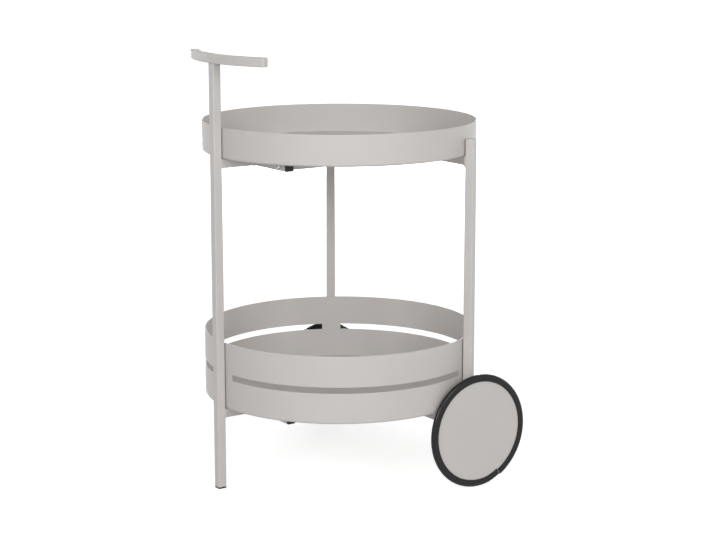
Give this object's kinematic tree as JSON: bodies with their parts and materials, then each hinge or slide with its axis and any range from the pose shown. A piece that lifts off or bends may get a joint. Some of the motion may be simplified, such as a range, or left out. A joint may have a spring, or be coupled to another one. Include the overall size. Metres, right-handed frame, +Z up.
{
  "type": "serving trolley",
  "caption": "Round serving trolley with an upper and a slotted lower sheet-metal tray on square-tube legs, a bowed push handle, plain disc wheels with rubber edging and a plug foot.",
  "frame": {"origin": "on the floor, under the middle of the bounding box", "axes": "+X from the handle leg to the wheels, +Y to the left of someone pushing, +Z up"},
  "size_m": [0.4766, 0.477, 0.721],
  "materials": {
    "warm_grey_powder_coat": "satin powder coat",
    "black_rubber": "extruded rubber, satin",
    "black_plastic": "moulded, fine texture",
    "white_nylon": "turned nylon",
    "zinc_plated_steel": "bright zinc plate"
  },
  "bodies": {
    "cart": {"axle_retaining_screws": "zinc_plated_steel", "axle_tube": "warm_grey_powder_coat", "handle_bar": "warm_grey_powder_coat", "handle_end_plates": "warm_grey_powder_coat", "handle_leg": "warm_grey_powder_coat", "handle_leg_foot": "black_plastic", "left_axle_bush": "white_nylon", "left_axle_washer": "white_nylon", "left_wheel_leg": "warm_grey_powder_coat", "lower_cross_bar": "warm_grey_powder_coat", "lower_cross_bar_plugs": "black_plastic", "lower_frame_bolts": "zinc_plated_steel", "lower_left_side_rail": "warm_grey_powder_coat", "lower_rail_inserts": "zinc_plated_steel", "lower_rear_rail": "warm_grey_powder_coat", "lower_right_side_rail": "warm_grey_powder_coat", "lower_stem_rail": "warm_grey_powder_coat", "lower_tray_floor": "warm_grey_powder_coat", "lower_tray_nuts": "zinc_plated_steel", "lower_tray_studs": "zinc_plated_steel", "lower_tray_wall": "warm_grey_powder_coat", "right_axle_bush": "white_nylon", "right_axle_washer": "white_nylon", "right_wheel_leg": "warm_grey_powder_coat", "upper_cross_bar": "warm_grey_powder_coat", "upper_cross_bar_plugs": "black_plastic", "upper_frame_bolts": "zinc_plated_steel", "upper_left_side_rail": "warm_grey_powder_coat", "upper_rail_inserts": "zinc_plated_steel", "upper_rear_rail": "warm_grey_powder_coat", "upper_right_side_rail": "warm_grey_powder_coat", "upper_stem_rail": "warm_grey_powder_coat", "upper_tray_floor": "warm_grey_powder_coat", "upper_tray_nuts": "zinc_plated_steel", "upper_tray_studs": "zinc_plated_steel", "upper_tray_wall": "warm_grey_powder_coat", "wheel_leg_caps": "warm_grey_powder_coat"},
    "left_wheel": {"left_wheel_disc": "warm_grey_powder_coat", "left_wheel_tyre": "black_rubber", "left_wheel_hub": "warm_grey_powder_coat", "left_stub_axle": "zinc_plated_steel"},
    "right_wheel": {"right_wheel_disc": "warm_grey_powder_coat", "right_wheel_tyre": "black_rubber", "right_wheel_hub": "warm_grey_powder_coat", "right_stub_axle": "zinc_plated_steel"}
  },
  "joints": [
    {"name": "left_wheel_spin", "type": "hinge", "parent": "cart", "child": "left_wheel", "pos_m": [0.12775, 0.2345, 0.096], "axis": [0, 1, 0], "continuous": true},
    {"name": "right_wheel_spin", "type": "hinge", "parent": "cart", "child": "right_wheel", "pos_m": [0.12775, -0.2345, 0.096], "axis": [0, 1, 0], "continuous": true}
  ]
}
